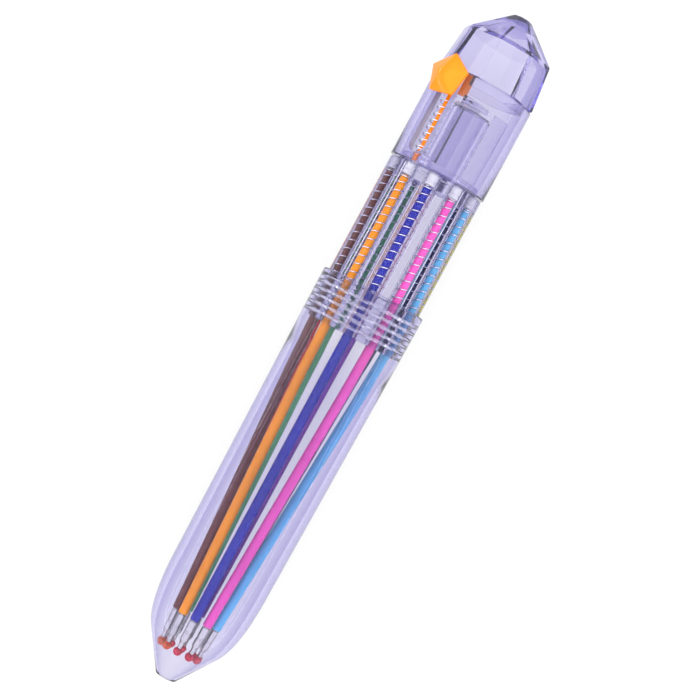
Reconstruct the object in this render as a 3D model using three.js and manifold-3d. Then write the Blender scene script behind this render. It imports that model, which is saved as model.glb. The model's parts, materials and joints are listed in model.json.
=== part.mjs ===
// Ten-colour selector pen, lying on its side. Millimetres, +Z up, nose at -X and crown at +X.
// Turning the cap brings its one slider over a refill, and pushing the slider sends that refill
// out of the nose. Stations along the pen are measured from the nose's end; "angle" is measured
// round the axis from straight up, positive towards -Y.
import * as THREE from "three";
import { mergeVertices } from "three/addons/utils/BufferGeometryUtils.js";
import Module from "manifold-3d";

const wasm = await Module();
wasm.setup();

// --- driving dimensions -------------------------------------------------------------------
const sides = 24;                  // flats round the big turned parts
const movingGap = 0.3;             // between pieces that move, or that are assembled
const restGap = 0.25;              // between faces that touch in the real pen

// refills
const refillCount = 10;
const refillAngle = -39.5;         // the refill that stands under the slider
const tubeRadius = 0.98;
const tipRadius = 0.8;
const tipLength = 6.2;
const spigotRadius = 0.45;         // plug and tip each reach into the tube with a spigot
const spigotLength = 2.8;
const beadRadius = 0.9;
const beadSetback = 5.8;           // from the nose's end to the wax bead
const beadRoom = 0.38;             // between a bead and the nose's inner cone
const plugHead = 2.7;

// springs
const wireRadius = 0.12;
const springRoom = 0.03;           // between a coil's flats and the tube or rod inside it
const stepsPerTurn = 6;
const refillTurns = 13;
const sliderTurns = 8;

// refill carrier
const carrierRadius = 10.2;
const carrierLength = 35.8;
const carrierInBarrel = 9.9;
const carrierRoof = 2.4;           // thickness over the hollow up its middle
const coreWall = 1.6;              // between that hollow and the channels
const channelRoom = 0.13;          // round a spring in its channel
const channelWall = 0.3;
const guideLength = 9.3;           // the narrow lower end of each channel

// thread, drawn as rings
const threadPitch = 1.48;
const threadRings = 6;
const threadDepth = 0.42;
const threadGap = 0.25;
const ridgeHalf = 0.4;             // half a ridge's width at its foot

// barrel
const barrelLength = 87.5;
const lipWall = 0.75;
const lipLength = 2.6;
const barrelWall = 1.6;
const barrelTaper = 0.8;           // how much slimmer it is where the nose begins
const noseLength = 24;
const coneLength = 8;
const coneSlope = 0.675;           // radius gained per millimetre behind the nose's end
const noseRim = 0.4;               // wall round the hole at the nose's end
const noseHoleRoom = 0.9;          // round a bead in that hole
const noseWall = 0.85;

// cap
const capGap = 0.5;                // between the carrier and the cap's floor
const sleeveProud = 0.3;           // the sleeve's radius over the carrier's
const sleeveWall = 1.5;
const sleeveLength = 19.9;
const slotRoom = 0.48;             // beside the slider's spring in the slot
const floorThickness = 1.5;
const bossHeight = 0.9;
const bossWall = 0.33;             // round the slider's spring on its seat
const hubWall = 0.9;
const ribThickness = 0.8;
const ribRoom = 2.05;              // between the ribs and the crown's skirt
const hubBelowRibs = 2;
const spindleRadius = 2.9;
const clipThickness = 0.6;
const clipWidth = 1.5;
const clipGrooveDepth = 0.6;
const spindleHead = 1.2;

// crown
const crownSides = 8;
const crownTurn = 33;              // angle of one of its corners
const crownProud = 0.25;           // its corners' radius over the sleeve's
const crownDraft = 1.05;           // how much slimmer it is at the shoulder
const crownTopRadius = 2.1;
const crownBody = 9.5;
const crownPoint = 6.4;
const crownWall = 1.5;
const crownRoof = 3.2;
const cavityTopRadius = 3;
const skirtLength = 2;
const skirtWall = 0.8;
const skirtJoint = 0.2;            // floor left over the skirt where the cavity begins
const cavityRise = 0.6;            // how far under the shoulder the cavity starts to close

// slider
const gemSides = 5;
const gemRadius = 4.3;
const gemGirdle = 1.3;
const gemDome = 1.7;
const gemTableRadius = 1.3;
const gemChamfer = 0.45;
const gemTilt = 5.5;
const neckLength = 3;
const blockHalfWidth = 2.6;
const blockDepth = 1.5;
const blockLength = 4.2;
const rodRadius = 0.55;

// --- stations along the pen --------------------------------------------------------------------
const carrierBottom = barrelLength - carrierInBarrel;
const carrierTop = carrierBottom + carrierLength;
const springSeat = carrierBottom + guideLength;
const floorBottom = carrierTop + capGap;
const floorTop = floorBottom + floorThickness;
const bossTop = floorTop + bossHeight;
const sleeveTop = floorBottom + sleeveLength;
const crownBottom = sleeveTop + restGap;
const crownShoulder = crownBottom + crownBody;
const crownTop = crownShoulder + crownPoint;
const ribTop = crownBottom - skirtLength - ribRoom;
const hubTop = ribTop - hubBelowRibs;
const clipBottom = hubTop + movingGap;
const clipTop = clipBottom + clipThickness;
const spindleTop = clipTop + spindleHead;
const plugTop = floorBottom - restGap;
const plugBottom = plugTop - plugHead;
const tubeTop = plugBottom - restGap;
const blockTop = crownBottom - movingGap;
const gemCentre = blockTop - neckLength / 2;
const beadCentre = beadSetback + beadRadius;
const tipBottom = beadCentre + 0.45 * beadRadius;
const tipTop = tipBottom + tipLength;
const leanStart = carrierBottom - 1;

// --- radii and distances from the axis ------------------------------------------------------------
const springMean = (tubeRadius + springRoom + wireRadius) / Math.cos(Math.PI / stepsPerTurn);
const springOuter = springMean + wireRadius;
const channelRadius = springOuter + channelRoom;
const guideRadius = tubeRadius + movingGap;
const plugRadius = springMean;
const tubeBore = spigotRadius + restGap;
const refillCircle = carrierRadius - channelWall - channelRadius;
const carrierCore = refillCircle - channelRadius - coreWall;
const boreRadius = carrierRadius + threadGap;
const lipRadius = boreRadius + lipWall;
const noseRadius = lipRadius - barrelTaper;
const noseHoleRadius = beadRadius + noseHoleRoom;
const noseEndRadius = noseHoleRadius + noseRim;
const coneRadius = noseEndRadius + coneSlope * coneLength;
const coneFactor = Math.hypot(1, coneSlope);   // along the radius, for each unit of wall
const tipCircle = noseEndRadius + coneSlope * beadCentre
  - (noseWall + beadRadius + beadRoom) * coneFactor;
const tubeLean = (refillCircle - tipCircle) / (leanStart - beadCentre);
const sleeveRadius = carrierRadius + sleeveProud;
const sleeveBore = sleeveRadius - sleeveWall;
const slotWidth = 2 * (springOuter + slotRoom);
const bossRadius = springOuter + bossWall;
const hubBore = spindleRadius + movingGap;
const hubRadius = hubBore + hubWall;
const clipBore = spindleRadius - clipGrooveDepth + restGap;
const clipRadius = clipBore + clipWidth;
const crownBaseRadius = sleeveRadius + crownProud;
const crownShoulderRadius = crownBaseRadius - crownDraft;
const blockOuter = Math.sqrt((sleeveBore - restGap) ** 2 - blockHalfWidth ** 2);
const gemBottom = sleeveRadius + 2 * movingGap;
const axisHeight = lipRadius;
const degree = Math.PI / 180;

// How far a refill's centre stands from the pen's axis at station u.
function refillRadiusAt(u) {
  return refillCircle - tubeLean * Math.max(0, leanStart - u);
}

// --- helpers ----------------------------------------------------------------------------------
// One closed mesh with shared vertices and its faces pointing out.
function closed(geometry) {
  const bare = geometry.clone();
  for (const name of ["normal", "uv", "uv1"]) {
    bare.deleteAttribute(name);
  }
  const merged = mergeVertices(bare, 1e-4);
  const kept = [];
  for (let i = 0; i < merged.index.count; i += 3) {
    const [a, b, c] = [0, 1, 2].map((k) => merged.index.getX(i + k));
    if (a !== b && b !== c && c !== a) kept.push(a, b, c);
  }
  if (signedVolume(merged.attributes.position, kept) < 0) {
    kept.reverse();
  }
  merged.setIndex(kept);
  return merged;
}

function signedVolume(position, index) {
  const [a, b, c] = [new THREE.Vector3(), new THREE.Vector3(), new THREE.Vector3()];
  let total = 0;
  for (let i = 0; i < index.length; i += 3) {
    a.fromBufferAttribute(position, index[i]);
    b.fromBufferAttribute(position, index[i + 1]);
    c.fromBufferAttribute(position, index[i + 2]);
    total += a.dot(b.cross(c)) / 6;
  }
  return total;
}

function toSolid(geometry) {
  const merged = closed(geometry);
  return new wasm.Manifold(new wasm.Mesh({
    numProp: 3,
    vertProperties: new Float32Array(merged.attributes.position.array),
    triVerts: new Uint32Array(merged.index.array),
  }));
}

function toGeometry(solid) {
  const mesh = solid.getMesh();
  const geometry = new THREE.BufferGeometry();
  geometry.setAttribute("position", new THREE.Float32BufferAttribute(mesh.vertProperties, 3));
  geometry.setIndex(new THREE.Uint32BufferAttribute(mesh.triVerts, 1));
  return geometry;
}

function joined(...geometries) {
  return toGeometry(geometries.map(toSolid).reduce((whole, more) => whole.add(more)));
}

function cut(geometry, ...tools) {
  return toGeometry(tools.map(toSolid).reduce((left, tool) => left.subtract(tool), toSolid(geometry)));
}

// Turn an outline of [station, radius] points round the X axis. The flats stand at the given radius.
function turned(outline, count = sides) {
  const corner = 1 / Math.cos(Math.PI / count);
  const points = outline.map(([u, r]) => new THREE.Vector2(r * corner, u));
  return new THREE.LatheGeometry(points, count, Math.PI / count).rotateZ(-Math.PI / 2);
}

// The same with its corners at the given radius, the first of them at startAngle.
function faceted(outline, count, startAngle) {
  const points = outline.map(([u, r]) => new THREE.Vector2(r, u));
  return new THREE.LatheGeometry(points, count, startAngle * degree).rotateZ(-Math.PI / 2);
}

function cylinder(from, to, radius, count) {
  return turned([[from, 0], [from, radius], [to, radius], [to, 0]], count);
}

// A cylinder along the pen at a distance from its axis, turned to an angle.
function offAxis(from, to, radius, count, distance, angle) {
  return cylinder(from, to, radius, count).translate(0, 0, distance).rotateX(angle * degree);
}

// A block between two stations, two heights and two sideways places, turned to an angle.
function block(stations, heights, across, angle = 0) {
  const size = [stations, across, heights].map(([low, high]) => high - low);
  const middle = [stations, across, heights].map(([low, high]) => (high + low) / 2);
  return new THREE.BoxGeometry(...size).translate(...middle).rotateX(angle * degree);
}

// A straight run followed by points on a quadratic curve, for a shoulder.
function shoulder(start, bend, end, steps) {
  const curve = new THREE.QuadraticBezierCurve(
    new THREE.Vector2(...start), new THREE.Vector2(...bend), new THREE.Vector2(...end));
  return curve.getPoints(steps).map((p) => [p.x, p.y]);
}

class Helix extends THREE.Curve {
  constructor(from, to, radius, turns) {
    super();
    Object.assign(this, { from, to, radius, turns });
  }

  getPoint(t, target = new THREE.Vector3()) {
    const turn = 2 * Math.PI * this.turns * t;
    const u = this.from + (this.to - this.from) * t;
    return target.set(u, this.radius * Math.sin(turn), this.radius * Math.cos(turn));
  }
}

// A coil spring along the pen, centred on the refill circle.
function coilSpring(from, to, turns) {
  const section = new THREE.Shape();
  for (let i = 0; i < 3; i++) {
    const angle = (2 * Math.PI * i) / 3;
    const point = [wireRadius * Math.cos(angle), wireRadius * Math.sin(angle)];
    if (i === 0) section.moveTo(...point);
    else section.lineTo(...point);
  }
  const path = new Helix(from + wireRadius, to - wireRadius, springMean, turns);
  const options = { steps: turns * stepsPerTurn, bevelEnabled: false, extrudePath: path };
  return new THREE.ExtrudeGeometry(section, options).translate(0, 0, refillCircle);
}

// The middle line of a refill's tube, in the plane through the pen's axis and +Z.
class TubeLine extends THREE.Curve {
  getPoint(t, target = new THREE.Vector3()) {
    const u = tubeTop + (tipTop + restGap - tubeTop) * t;
    return target.set(u, 0, refillRadiusAt(u));
  }
}

const group = new THREE.Group();
group.position.set(-crownTop / 2, 0, axisHeight);

function add(parent, name, geometry, color, roughness, metalness = 0, opacity = 1) {
  const look = { color, roughness, metalness, opacity, transparent: opacity < 1 };
  const mesh = new THREE.Mesh(closed(geometry), new THREE.MeshStandardMaterial(look));
  mesh.name = name;
  parent.add(mesh);
  return mesh;
}

const clear = [0xc4bfe8, 0.08, 0, 0.35];
const metal = [0xc8c8cc, 0.25, 1];

// --- barrel -------------------------------------------------------------------------------------
function barrel() {
  const bendU = coneLength + (noseRadius - coneRadius) / coneSlope;
  const inwards = noseWall * coneFactor;
  const landEnd = (noseHoleRadius + inwards - noseEndRadius) / coneSlope;
  const threadStart = carrierBottom + threadPitch / 2;
  const boreStart = carrierBottom - movingGap;
  const outside = [
    [0, noseHoleRadius], [0, noseEndRadius],
    ...shoulder([coneLength, coneRadius], [bendU, noseRadius], [noseLength, noseRadius], 6),
    [barrelLength - lipLength, lipRadius], [barrelLength, lipRadius],
  ];
  const ridge = boreRadius - threadDepth;
  const inside = [[barrelLength, boreRadius]];
  for (let i = threadRings - 1; i >= 0; i--) {
    const u = threadStart + threadPitch * (i + 0.5);
    inside.push([u + ridgeHalf, boreRadius], [u, ridge], [u - ridgeHalf, boreRadius]);
  }
  inside.push([boreStart, boreRadius], [boreStart - 1, lipRadius - barrelWall]);
  inside.push(...shoulder(
    [noseLength, noseRadius - barrelWall],
    [bendU, noseRadius - barrelWall],
    [coneLength, coneRadius - inwards], 6));
  inside.push([landEnd, noseHoleRadius], [0, noseHoleRadius]);
  return turned([...outside, ...inside]);
}

// --- refill carrier -------------------------------------------------------------------------------
function carrierBody() {
  const root = carrierRadius - threadDepth;
  const outline = [
    [carrierTop - carrierRoof, 0], [carrierTop - carrierRoof, carrierCore],
    [carrierBottom, carrierCore], [carrierBottom, root],
  ];
  for (let i = 0; i < threadRings; i++) {
    const u = carrierBottom + threadPitch * (i + 0.5);
    outline.push([u - ridgeHalf, root], [u, carrierRadius], [u + ridgeHalf, root]);
  }
  const threadEnd = carrierBottom + threadPitch * threadRings;
  outline.push([threadEnd + 0.5, root], [threadEnd + 0.8, carrierRadius], [carrierTop, carrierRadius]);
  const groove = spindleRadius - clipGrooveDepth;
  outline.push(
    [carrierTop, spindleRadius], [clipBottom - 0.2, spindleRadius], [clipBottom - 0.2, groove],
    [clipTop + 0.2, groove], [clipTop + 0.2, spindleRadius], [spindleTop, spindleRadius],
    [spindleTop, 0]);
  return turned(outline);
}

function carrier() {
  const holes = [];
  for (let i = 0; i < refillCount; i++) {
    const angle = refillAngle + (360 / refillCount) * i;
    holes.push(offAxis(springSeat, carrierTop + 1, channelRadius, 12, refillCircle, angle));
    holes.push(offAxis(carrierBottom - 1, springSeat + 0.1, guideRadius, 10, refillCircle, angle));
  }
  return cut(carrierBody(), ...holes);
}

// The split ring that keeps the cap on the spindle.
function spindleClip() {
  const outline = [
    [clipBottom, clipBore], [clipBottom, clipRadius],
    [clipTop, clipRadius], [clipTop, clipBore], [clipBottom, clipBore],
  ];
  const gap = block([clipBottom - 1, clipTop + 1], [0, clipRadius + 1], [-1, 1], 140);
  return cut(turned(outline, 20), gap);
}

// --- cap ------------------------------------------------------------------------------------------
function sleeve() {
  const outline = [
    [floorBottom, sleeveBore], [floorBottom, sleeveRadius],
    [sleeveTop, sleeveRadius], [sleeveTop, sleeveBore], [floorBottom, sleeveBore],
  ];
  const slot = block([floorTop, sleeveTop + 1], [0, sleeveRadius + 2],
    [-slotWidth / 2, slotWidth / 2], refillAngle);
  return cut(turned(outline), slot);
}

// Floor, hub and the two pairs of ribs that stand in the sleeve; one pair guides the slider.
function sliderGuide() {
  const rim = sleeveBore - movingGap;
  const outline = [
    [floorBottom, hubBore], [floorBottom, rim], [floorTop, rim], [floorTop, hubRadius],
    [hubTop, hubRadius], [hubTop, hubBore], [floorBottom, hubBore],
  ];
  const near = blockHalfWidth + movingGap;
  const far = near + ribThickness;
  const ribOuter = Math.sqrt((sleeveBore - movingGap) ** 2 - far ** 2);
  const stations = [floorTop - 0.1, ribTop];
  const ribs = [0, 180].flatMap((turn) => [[near, far], [-far, -near]].map((across) =>
    block(stations, [1, ribOuter], across, refillAngle + turn)));
  const bore = cylinder(floorBottom - 1, hubTop + 1, hubBore, sides);
  const clipRoom = cylinder(hubTop, hubTop + 10, clipRadius + movingGap, sides);
  const boss = offAxis(floorTop - 0.1, bossTop, bossRadius, 12, refillCircle, 0);
  const trim = cylinder(floorTop - 1, bossTop + 1, rim, sides);
  const seat = toGeometry(toSolid(boss).intersect(toSolid(trim))).rotateX(refillAngle * degree);
  const hole = offAxis(floorBottom - 1, bossTop + 1, rodRadius + movingGap, 10,
    refillCircle, refillAngle);
  return cut(joined(turned(outline), ...ribs, seat), bore, clipRoom, hole);
}

function crown() {
  const inner = (r) => r - crownWall / Math.cos(Math.PI / crownSides);
  const roof = crownTop - crownRoof;
  const skirtRadius = sleeveBore - restGap;
  const skirtBottom = crownBottom - skirtLength;
  const body = faceted([
    [crownBottom, 0], [crownBottom, crownBaseRadius],
    [crownShoulder, crownShoulderRadius], [crownTop, crownTopRadius], [crownTop, 0],
  ], crownSides, crownTurn);
  const cavity = faceted([
    [crownBottom + skirtJoint, 0], [crownBottom + skirtJoint, inner(crownBaseRadius)],
    [crownShoulder - cavityRise, inner(crownShoulderRadius)], [roof, cavityTopRadius], [roof, 0],
  ], crownSides, crownTurn);
  const skirt = cylinder(skirtBottom, crownBottom + 2 * skirtWall, skirtRadius, sides);
  const skirtBore = cylinder(skirtBottom - 1, crownBottom + 1, skirtRadius - skirtWall, sides);
  const half = blockHalfWidth + movingGap;
  const passage = block([skirtBottom - 1, crownBottom], [2, sleeveRadius], [-half, half],
    refillAngle);
  return cut(joined(body, skirt), skirtBore, cavity, passage);
}

// --- slider -----------------------------------------------------------------------------------------
// Rod, block, neck and gem in one moulding, drawn at angle 0.
function slider() {
  const rod = cylinder(floorBottom + 0.1, blockTop - blockLength + 0.5, rodRadius, 10)
    .translate(0, 0, refillCircle);
  const blockStations = [blockTop - blockLength, blockTop];
  const inside = block(blockStations, [blockOuter - blockDepth, blockOuter],
    [-blockHalfWidth, blockHalfWidth]);
  const neckHalf = slotWidth / 2 - movingGap;
  const neck = block([blockTop - neckLength, blockTop], [blockOuter - 0.2, gemBottom + 0.2],
    [-neckHalf, neckHalf]);
  const girdleTop = gemBottom + gemGirdle;
  const outline = [
    [0, gemBottom], [gemRadius - gemChamfer, gemBottom], [gemRadius, gemBottom + gemChamfer],
    [gemRadius, girdleTop], [gemTableRadius, girdleTop + gemDome], [0, girdleTop + gemDome],
  ];
  const points = outline.map(([r, height]) => new THREE.Vector2(r, height));
  const gem = new THREE.LatheGeometry(points, gemSides, Math.PI / 2 + gemTilt * degree)
    .rotateX(Math.PI / 2)
    .translate(gemCentre, 0, 0);
  return joined(inside, neck, gem, rod);
}

// --- refills ------------------------------------------------------------------------------------------
function plug() {
  const edge = 0.5;
  return turned([
    [plugBottom - spigotLength, 0], [plugBottom - spigotLength, spigotRadius],
    [plugBottom, spigotRadius], [plugBottom, plugRadius], [plugTop - edge, plugRadius],
    [plugTop - edge * 0.3, plugRadius - edge * 0.3], [plugTop, plugRadius - edge], [plugTop, 0],
  ], 10).translate(0, 0, refillCircle);
}

function tube() {
  const section = new THREE.Shape();
  section.absarc(0, 0, tubeRadius, 0, 2 * Math.PI);
  const outline = new THREE.Shape(section.getPoints(4).slice(0, 8));
  const line = new TubeLine();
  const whole = new THREE.ExtrudeGeometry(outline, { steps: 12, bevelEnabled: false, extrudePath: line });
  const upper = cylinder(tubeTop - spigotLength - 0.1, tubeTop + 1, tubeBore, 8)
    .translate(0, 0, refillCircle);
  const lower = onTipAxis(cylinder(-1, spigotLength + 0.3, tubeBore, 8), tipTop + restGap);
  return cut(whole, upper, lower);
}

// Move a piece drawn along +X from the origin onto the leaning line of a refill's lower end.
function onTipAxis(geometry, station) {
  return geometry.rotateY(-Math.atan(tubeLean)).translate(station, 0, refillRadiusAt(station));
}

function tip() {
  const waist = tipRadius * 0.62;
  return onTipAxis(turned([
    [0, 0], [0, waist], [1.5, waist], [2.1, tipRadius], [tipLength, tipRadius],
    [tipLength, spigotRadius], [tipLength + spigotLength, spigotRadius],
    [tipLength + spigotLength, 0],
  ], 10), tipBottom);
}

// The wax bead that seals a new refill, a ball with a cup in its back for the tip's point.
function bead() {
  const ball = new THREE.SphereGeometry(beadRadius, 8, 6).rotateZ(Math.PI / 2);
  const seat = cylinder(0.4 - restGap, 2, tipRadius * 0.62 + 0.1, 8);
  return onTipAxis(cut(ball, seat), beadCentre);
}

const refillColours = {
  orange: 0xff9a1e, blue: 0x2b34b0, pink: 0xf05ac8, sky: 0x6ebef0, olive: 0xc2bd2a,
  navy: 0x23254a, violet: 0x7a3cc0, green: 0x2f9a55, red: 0xd02a30, brown: 0x6e3a38,
};

// --- assembly -------------------------------------------------------------------------------------------
add(group, "lower_barrel", barrel(), ...clear);
add(group, "refill_carrier", carrier(), ...clear);
add(group, "spindle_clip", spindleClip(), 0xf0f0f4, 0.4);
add(group, "cap_sleeve", sleeve(), ...clear);
add(group, "slider_guide", sliderGuide(), ...clear);
add(group, "crown", crown(), ...clear);

const sliderPlace = new THREE.Group();
sliderPlace.rotation.x = refillAngle * degree;
group.add(sliderPlace);
add(sliderPlace, "slider", slider(), 0xff8c00, 0.25, 0, 0.9);
const sliderSpringTop = blockTop - blockLength - restGap;
add(sliderPlace, "slider_spring", coilSpring(bossTop + 0.1, sliderSpringTop, sliderTurns), ...metal);

Object.entries(refillColours).forEach(([name, colour], i) => {
  const place = new THREE.Group();
  place.rotation.x = (refillAngle + (360 / refillCount) * i) * degree;
  group.add(place);
  add(place, `plug_${name}`, plug(), 0xf2f2f5, 0.5);
  add(place, `tube_${name}`, tube(), colour, 0.2);
  add(place, `tip_${name}`, tip(), ...metal);
  add(place, `bead_${name}`, bead(), 0xd83040, 0.4);
  add(place, `spring_${name}`, coilSpring(springSeat + 0.1, plugBottom - 0.1, refillTurns), ...metal);
});

export default group;
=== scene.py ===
"""A clear selector pen with ten refills: its visible pieces, their finishes and a small studio."""

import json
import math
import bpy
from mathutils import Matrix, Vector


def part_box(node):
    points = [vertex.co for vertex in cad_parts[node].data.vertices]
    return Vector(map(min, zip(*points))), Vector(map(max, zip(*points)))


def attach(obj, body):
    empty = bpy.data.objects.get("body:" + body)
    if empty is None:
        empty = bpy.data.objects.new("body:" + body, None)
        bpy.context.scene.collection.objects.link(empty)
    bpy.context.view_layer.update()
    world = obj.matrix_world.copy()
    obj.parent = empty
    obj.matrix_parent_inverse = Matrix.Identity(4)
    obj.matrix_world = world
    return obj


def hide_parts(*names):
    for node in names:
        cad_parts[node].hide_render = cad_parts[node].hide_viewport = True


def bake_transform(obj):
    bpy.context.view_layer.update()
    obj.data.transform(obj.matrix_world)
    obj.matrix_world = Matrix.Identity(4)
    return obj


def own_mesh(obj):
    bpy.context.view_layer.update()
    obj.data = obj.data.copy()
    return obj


bl_info = {
    "name": "Ten-Colour Selector Pen",
    "version": (1, 0, 0),
    "blender": (4, 5, 0),
    "location": "3D View > Sidebar > Pen",
    "description": "Builds a clear selector pen with its refills, springs and studio",
    "category": "Object",
}

import bpy
import numpy as np
from bpy.props import FloatProperty, FloatVectorProperty, IntProperty, PointerProperty
from mathutils import Matrix, Vector

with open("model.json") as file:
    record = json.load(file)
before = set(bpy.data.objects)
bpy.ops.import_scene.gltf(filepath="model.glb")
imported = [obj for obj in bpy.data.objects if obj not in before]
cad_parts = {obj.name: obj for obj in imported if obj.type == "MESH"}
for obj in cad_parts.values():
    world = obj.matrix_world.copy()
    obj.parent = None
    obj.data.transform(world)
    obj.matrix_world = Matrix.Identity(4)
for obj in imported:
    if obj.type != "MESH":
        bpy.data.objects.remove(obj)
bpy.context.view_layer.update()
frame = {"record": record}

# --- where things are, in millimetres -------------------------------------------------
# A station is measured along the pen from the nose's end. An angle is measured round the
# pen from straight up, positive towards -Y.
MM = 0.001
barrel_low, barrel_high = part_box("lower_barrel")
NOSE_X = barrel_low.x
AXIS_Z = (barrel_low.z + barrel_high.z) / 2
PEN_LENGTH = (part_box("crown")[1].x - NOSE_X) / MM

INKS = {
    "orange": (1.0, 0.33, 0.0),
    "blue": (0.01, 0.016, 0.34),
    "pink": (0.90, 0.09, 0.48),
    "sky": (0.13, 0.52, 0.82),
    "olive": (0.80, 0.74, 0.03),
    "navy": (0.03, 0.035, 0.16),
    "violet": (0.26, 0.06, 0.55),
    "green": (0.10, 0.46, 0.20),
    "red": (0.75, 0.03, 0.04),
    "brown": (0.15, 0.032, 0.028),
}
FIRST_ANGLE = -39.5
STEP_ANGLE = 360 / len(INKS)
REFILL_CIRCLE = 8.345
OVERCUT = 1  # how far a cutter runs past what it cuts
INNER_FACETS, CLIP_FACETS, HOLE_FACETS, SMALL_FACETS, THIN_FACETS = 96, 64, 40, 32, 28
SMALL_EDGE = 0.12  # rounding on the small inner mouldings

BARREL_END, LIP_START, LIP_RADIUS = 87.5, 84.9, 11.2
LIP_RUN, LIP_RISE, MOUTH_EDGE = 6, 0.08, 0.6
NOSE_END_RADIUS, NOSE_HOLE, CONE_SLOPE = 2.2, 1.8, 0.675
CONE_END, BEND, SHOULDER_END = (8.0, 7.6), (12.15, 10.4), (24.0, 10.4)
BARREL_BORE, BORE_START, BARREL_WALL = 10.45, 77.3, 1.6
BORE_STEP = ((74.5, BARREL_BORE - 0.02), (72.0, 9.95), (69.6, 9.5), (66.0, 9.46))
NOSE_WALL_ACROSS = 1.0255
NOSE_STEPS, BORE_STEPS = 28, 8
OUTER_ROWS, INNER_ROWS = (28, 76, 13), (62, 28, 10)  # first station, last, how many

CARRIER_LOW, CARRIER_HIGH, CARRIER_RADIUS, CARRIER_ROOT = 77.6, 113.4, 10.2, 9.78
CARRIER_CORE, CARRIER_ROOF = 5.19, 111.0
SPRING_SEAT, CHANNEL, GUIDE_HOLE = 86.9, 1.555, 1.28
THREAD_END, THREAD_FOOT, THREAD_RUN_OUT = 86.48, 0.36, 0.3
SPINDLE, SPINDLE_GROOVE, SPINDLE_END = 2.9, 2.3, 130.1
CLIP_LOW, CLIP_HIGH, CLIP_BORE, CLIP_RADIUS = 128.3, 128.9, 2.55, 4.05
CLIP_PLAY, CLIP_GAP, CLIP_GAP_ANGLE = 0.2, 1.0, 140.0

FLOOR_LOW, FLOOR_HIGH, BOSS_HIGH, BOSS_RADIUS = 113.9, 115.4, 116.3, 1.65
SLEEVE_RADIUS, SLEEVE_BORE, SLEEVE_END = 10.5, 9.0, 133.8
SLOT_HALF, GUIDE_RADIUS, BOSS_CIRCLE = 1.905, SLEEVE_BORE - 0.3, SLEEVE_BORE - 0.3 - 1.75
HUB_BORE, HUB_RADIUS, HUB_END, RIB_END = 3.2, 4.1, 128.0, 130.0
RIB_NEAR, RIB_FAR, RIB_ROOT = 2.9, 3.7, 2.0
CROWN_LOW, CROWN_SHOULDER, CROWN_END = 134.05, 143.55, 149.95
CROWN_RADII, CROWN_WALL, CROWN_TURN = (10.75, 9.7, 2.1), 1.6236, 33.0
CROWN_ROOF, CROWN_ROOF_RADIUS, CROWN_SIDES = 146.75, 3.0, 8
SKIRT_DEPTH, SKIRT_BORE, SKIRT_RADIUS = 2, 7.95, 8.75

BLOCK_LOW, BLOCK_HIGH, BLOCK_HALF = 129.55, 133.75, 2.6
BLOCK_OUTER, BLOCK_DEPTH, NECK_HALF = 8.36, 1.5, 1.6
ROD_RADIUS, ROD_HOLE = 0.55, 0.85
GEM_CENTRE, GEM_LOW, GEM_RADIUS, GEM_TABLE = 131.7, 11.1, 4.6, 1.1
GEM_SIDES, GEM_TURN, GEM_CHAMFER, GEM_GIRDLE, GEM_HEIGHT = 5, 5.5, 0.45, 1.3, 3.0
PLUG_LOW, PLUG_HIGH, PLUG_RADIUS = 110.95, 113.65, 1.305
TUBE_HIGH, TUBE_LOW, TUBE_RADIUS, TUBE_BORE = 110.7, 13.55, 0.98, 0.7
TUBE_ROWS_END, TUBE_ROWS = 19.3, 56
CRIMP = (18.9, 18.75, 18.5, 18.35, 14.2)  # the groove near the tip, and the collar below it
TIP_LOW, TIP_LENGTH, TIP_RADIUS = 7.105, 6.2, 0.8
PEG_RADIUS, PEG_LENGTH = 0.45, 2.8  # what a plug and a tip push into their tube
BEAD_CENTRE, BEAD_RADIUS = 6.7, 0.9
LEAN_START, LEAN, LEAN_EASE, LEAN_END = 76.6, 0.06, 4.0, 16.5
COIL_PLAY = 0.1


def at(station, radius=0.0, angle=0.0):
    """A point of the row frame, in metres."""
    turn = math.radians(angle)
    return Vector((NOSE_X + station * MM, -radius * MM * math.sin(turn),
                   AXIS_Z + radius * MM * math.cos(turn)))


def refill_radius(station):
    """How far a refill's centre stands from the pen's axis."""
    low, high = LEAN_START - LEAN_EASE, LEAN_START + LEAN_EASE
    if station >= high:
        return REFILL_CIRCLE
    if station <= low:
        return REFILL_CIRCLE - LEAN * (LEAN_START - station)
    return REFILL_CIRCLE - LEAN * (high - station) ** 2 / (4 * LEAN_EASE)


# --- user settings --------------------------------------------------------------------
def length(name, description, millimetres):
    return FloatProperty(name=name, description=description, default=millimetres * MM,
                         min=0.0, precision=5, subtype="DISTANCE", unit="LENGTH")


def colour(name, description, rgb):
    return FloatVectorProperty(name=name, description=description, default=rgb, size=3,
                               min=0.0, max=1.0, subtype="COLOR")


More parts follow.
